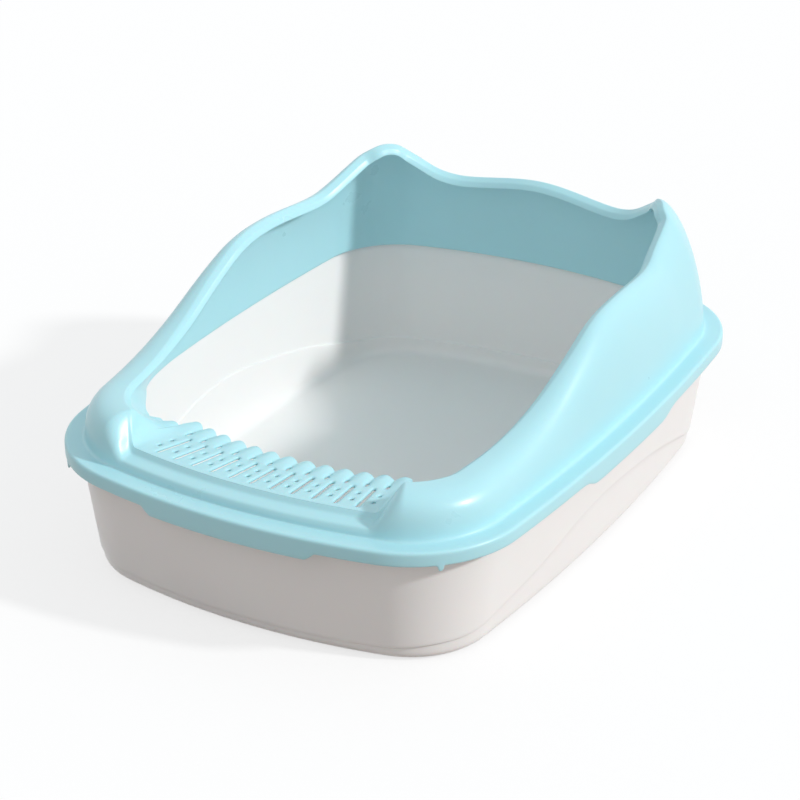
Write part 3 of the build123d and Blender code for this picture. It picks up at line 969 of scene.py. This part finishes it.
@dataclass
class Studio:
    """Floor, light and camera."""

    camera_place: tuple[float, float, float] = (1.01675, -1.8061, 1.1107)
    yaw: float = -0.515
    pitch: float = 0.46
    focal_pixels: float = 2883.3
    frame_pixels: float = 800.0
    floor_size: float = 12.0
    floor_drop: float = 0.0005
    floor_colour: tuple[float, float, float] = (0.34, 0.29, 0.26)
    floor_roughness: float = 0.9
    sky_colour: tuple[float, float, float] = (0.95, 0.98, 1.0)
    sky: float = 0.66
    sun: float = 1.95
    sun_from: tuple[float, float, float] = (0.82, 0.17, 0.55)
    sun_softness: float = 5.0
    shadow_depth: float = 0.3

    def add_camera(self) -> None:
        """Put the camera where the photograph was taken from."""
        data = bpy.data.cameras.new("camera")
        data.lens = data.sensor_width * self.focal_pixels / self.frame_pixels
        camera = bpy.data.objects.new("camera", data)
        camera.location = self.camera_place
        camera.rotation_euler = Euler((math.pi / 2 - self.pitch, 0.0, -self.yaw))
        bpy.context.scene.collection.objects.link(camera)
        bpy.context.scene.camera = camera

    def add_floor(self) -> None:
        """Lay a pale floor that the camera sees as plain white but for the shadow."""
        mesh = bmesh.new()
        bmesh.ops.create_grid(mesh, x_segments=1, y_segments=1, size=self.floor_size / 2)
        data = bpy.data.meshes.new("floor")
        mesh.to_mesh(data)
        mesh.free()
        material = bpy.data.materials.new("floor")
        material.use_nodes = True
        tree = material.node_tree
        matt = tree.nodes["Principled BSDF"]
        matt.inputs["Base Color"].default_value = (*self.floor_colour, 1.0)
        matt.inputs["Roughness"].default_value = self.floor_roughness
        self.whiten(tree, matt.outputs[0], tree.nodes["Material Output"].inputs[0], self.shadow_paper(tree))
        data.materials.append(material)
        floor = bpy.data.objects.new("floor", data)
        floor.location.z = -self.floor_drop
        bpy.context.scene.collection.objects.link(floor)

    def shadow_paper(self, tree: bpy.types.NodeTree) -> bpy.types.NodeSocket:
        """Return a shader that looks white in the light and pale grey in the shadow."""
        glow = tree.nodes.new("ShaderNodeEmission")
        glow.inputs["Strength"].default_value = 1.0 - self.shadow_depth
        paper = tree.nodes.new("ShaderNodeBsdfDiffuse")
        paper.inputs["Color"].default_value = (*[self.shadow_depth] * 3, 1.0)
        both = tree.nodes.new("ShaderNodeAddShader")
        tree.links.new(glow.outputs[0], both.inputs[0])
        tree.links.new(paper.outputs[0], both.inputs[1])
        return both.outputs[0]

    def whiten(
        self,
        tree: bpy.types.NodeTree,
        plain: bpy.types.NodeSocket,
        out: bpy.types.NodeSocket,
        seen: bpy.types.NodeSocket | None = None,
    ) -> None:
        """Show plain white to gloss and glass, and the given shader to the rays that light things.

        Args:
            tree: Node tree of the world or the floor.
            plain: Shader for the rays that carry light between surfaces.
            out: Where the result goes.
            seen: Shader that the camera sees, plain white if not given.
        """
        path = tree.nodes.new("ShaderNodeLightPath")
        clear = tree.nodes.new("ShaderNodeMath")
        clear.operation = "MAXIMUM"
        tree.links.new(path.outputs["Is Glossy Ray"], clear.inputs[0])
        tree.links.new(path.outputs["Is Transmission Ray"], clear.inputs[1])
        white = tree.nodes.new("ShaderNodeEmission").outputs[0]
        shader = plain
        for ray, picture in ((clear.outputs[0], white), (path.outputs["Is Camera Ray"], seen or white)):
            blend = tree.nodes.new("ShaderNodeMixShader")
            tree.links.new(ray, blend.inputs[0])
            tree.links.new(shader, blend.inputs[1])
            tree.links.new(picture, blend.inputs[2])
            shader = blend.outputs[0]
        tree.links.new(shader, out)

    def add_light(self) -> None:
        """Light the object with a soft, faintly blue sky and one sun from the right and behind."""
        world = bpy.data.worlds.new("sky")
        world.use_nodes = True
        tree = world.node_tree
        sky = tree.nodes["Background"]
        sky.inputs["Color"].default_value = (*self.sky_colour, 1.0)
        sky.inputs["Strength"].default_value = self.sky
        self.whiten(tree, sky.outputs[0], tree.nodes["World Output"].inputs[0])
        bpy.context.scene.world = world
        data = bpy.data.lights.new("sun", "SUN")
        data.energy = self.sun
        data.angle = math.radians(self.sun_softness)
        sun = bpy.data.objects.new("sun", data)
        sun.rotation_euler = Vector(self.sun_from).to_track_quat("Z", "Y").to_euler()
        bpy.context.scene.collection.objects.link(sun)

    def build(self) -> None:
        """Set up everything round the object."""
        self.add_floor()
        self.add_light()
        self.add_camera()
        bpy.context.scene.view_settings.view_transform = "Standard"


def main() -> None:
    """Load the frame, build every piece round it and log each piece's face count."""
    logging.basicConfig(level=logging.INFO, format="%(message)s")
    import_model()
    ring = Ring(Outline())
    for part in (Pan(ring), Surround(ring)):
        made = part.build()
        LOG.info("%s: %d faces", made.name, len(made.data.polygons))
    Studio().build()
    bpy.context.view_layer.update()


if __name__ == "__main__":
    main()
